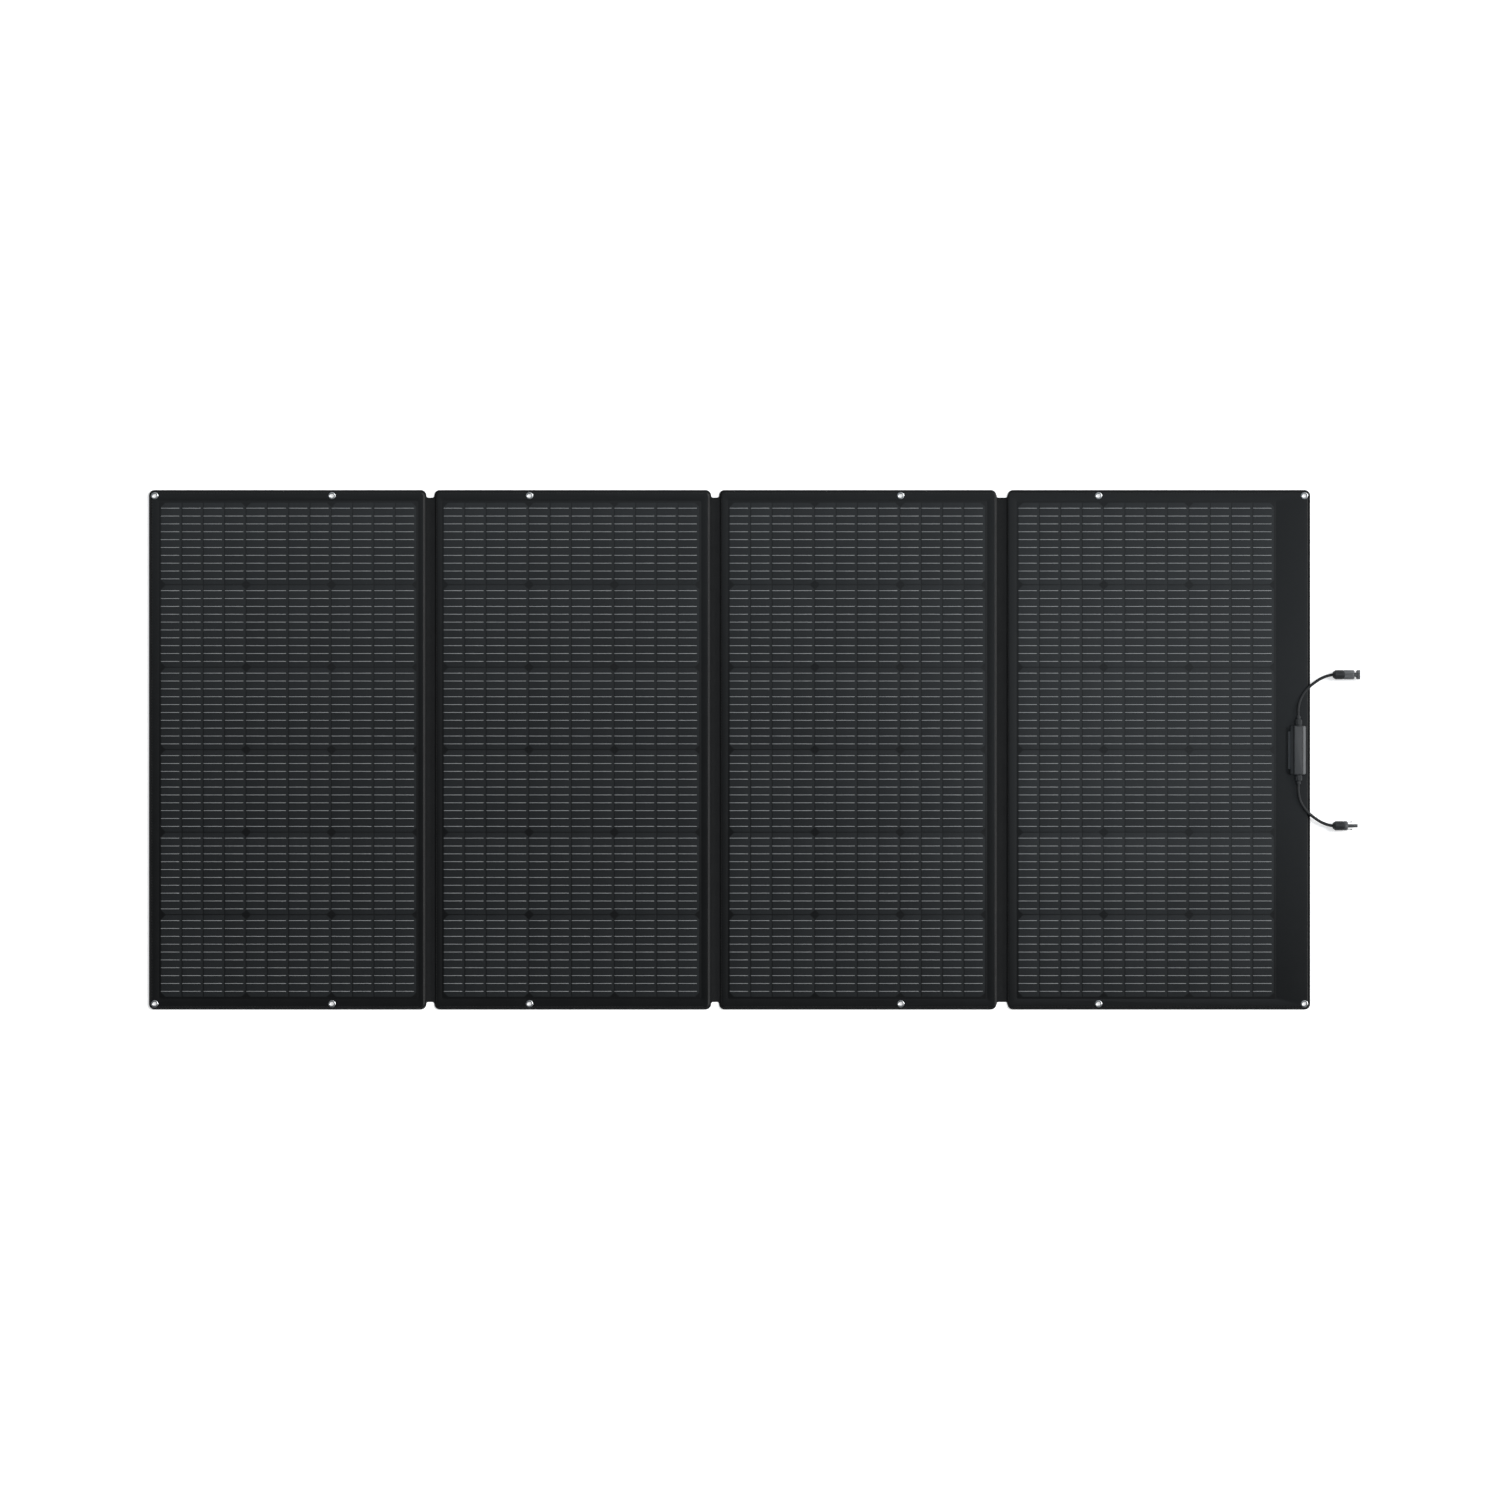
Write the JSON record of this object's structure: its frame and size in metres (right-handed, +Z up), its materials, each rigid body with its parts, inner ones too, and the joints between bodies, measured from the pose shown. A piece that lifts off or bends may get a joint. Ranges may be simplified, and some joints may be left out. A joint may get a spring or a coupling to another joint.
{
  "type": "folding solar sheet",
  "caption": "Portable solar sheet: stiff panels joined by cloth webs fold like an accordion; metal eyelets, and a junction box with two leads and round connectors.",
  "frame": {"origin": "on the ground under the middle of the open sheet, leads and connectors left out", "axes": "+X across the four panels towards the junction box, +Y along the folds, +Z up out of the cells"},
  "size_m": [2.4665, 1.058, 0.023],
  "materials": {
    "back_cloth": "woven coated polyester, matt",
    "hem": "folded and stitched cloth, matt",
    "web": "woven polyester, matt",
    "board": "glass-fibre board",
    "cells": "dark silicon under film",
    "ribbon": "tinned flat wire",
    "film": "satin embossed front film over a black ground",
    "eyelet": "satin grey metal",
    "box_shell": "fine-grained moulding",
    "box_cover": "fine-grained moulding",
    "seal": "soft matt rubber",
    "contact": "tinned copper alloy",
    "diode": "moulded case",
    "core": "stranded copper",
    "lead": "matt cable jacket",
    "connector": "moulded nylon"
  },
  "bodies": {
    "panel_1": {"back_cloth_1": "back_cloth", "edge_hem_1": "hem", "core_board_1": "board", "cell_strips_1": "cells", "ribbons_1": "ribbon", "string_links_1": "ribbon", "front_film_1": "film", "eyelets_1": "eyelet", "eyelet_washers_1": "eyelet", "fold_web_1_left": "web"},
    "panel_2": {"back_cloth_2": "back_cloth", "edge_hem_2": "hem", "core_board_2": "board", "cell_strips_2": "cells", "ribbons_2": "ribbon", "string_links_2": "ribbon", "front_film_2": "film", "eyelets_2": "eyelet", "eyelet_washers_2": "eyelet", "fold_web_1_right": "web", "fold_web_2_left": "web"},
    "panel_3": {"back_cloth_3": "back_cloth", "edge_hem_3": "hem", "core_board_3": "board", "cell_strips_3": "cells", "ribbons_3": "ribbon", "string_links_3": "ribbon", "front_film_3": "film", "eyelets_3": "eyelet", "eyelet_washers_3": "eyelet", "fold_web_2_right": "web", "fold_web_3_left": "web"},
    "panel_4": {"back_cloth_4": "back_cloth", "edge_hem_4": "hem", "core_board_4": "board", "cell_strips_4": "cells", "ribbons_4": "ribbon", "string_links_4": "ribbon", "front_film_4": "film", "eyelets_4": "eyelet", "eyelet_washers_4": "eyelet", "fold_web_3_right": "web", "box_base": "box_shell", "box_gasket": "seal", "box_cover": "box_cover", "terminals": "contact", "bypass_diodes": "diode", "gland_top": "box_shell", "gland_bottom": "box_shell", "lead_tails": "core", "lead_top": "lead", "socket_nut": "connector", "socket_seal": "seal", "socket_contact": "contact", "socket_body": "connector", "lead_bottom": "lead", "plug_nut": "connector", "plug_seal": "seal", "plug_pin": "contact", "plug_body": "connector"}
  },
  "joints": [
    {"name": "fold_1", "type": "hinge", "parent": "panel_1", "child": "panel_2", "pos_m": [-0.6095, 0, 0.0061], "axis": [0, -1, 0], "range_deg": [0, 180]},
    {"name": "fold_2", "type": "hinge", "parent": "panel_2", "child": "panel_3", "pos_m": [-0.0295, 0, -0.0003], "axis": [0, 1, 0], "range_deg": [0, 180]},
    {"name": "fold_3", "type": "hinge", "parent": "panel_3", "child": "panel_4", "pos_m": [0.55475, 0, 0.0061], "axis": [0, -1, 0], "range_deg": [0, 180]}
  ],
  "couplings": [
    {"joint": "fold_2", "follows": "fold_1", "ratio": 1},
    {"joint": "fold_3", "follows": "fold_1", "ratio": 1}
  ]
}
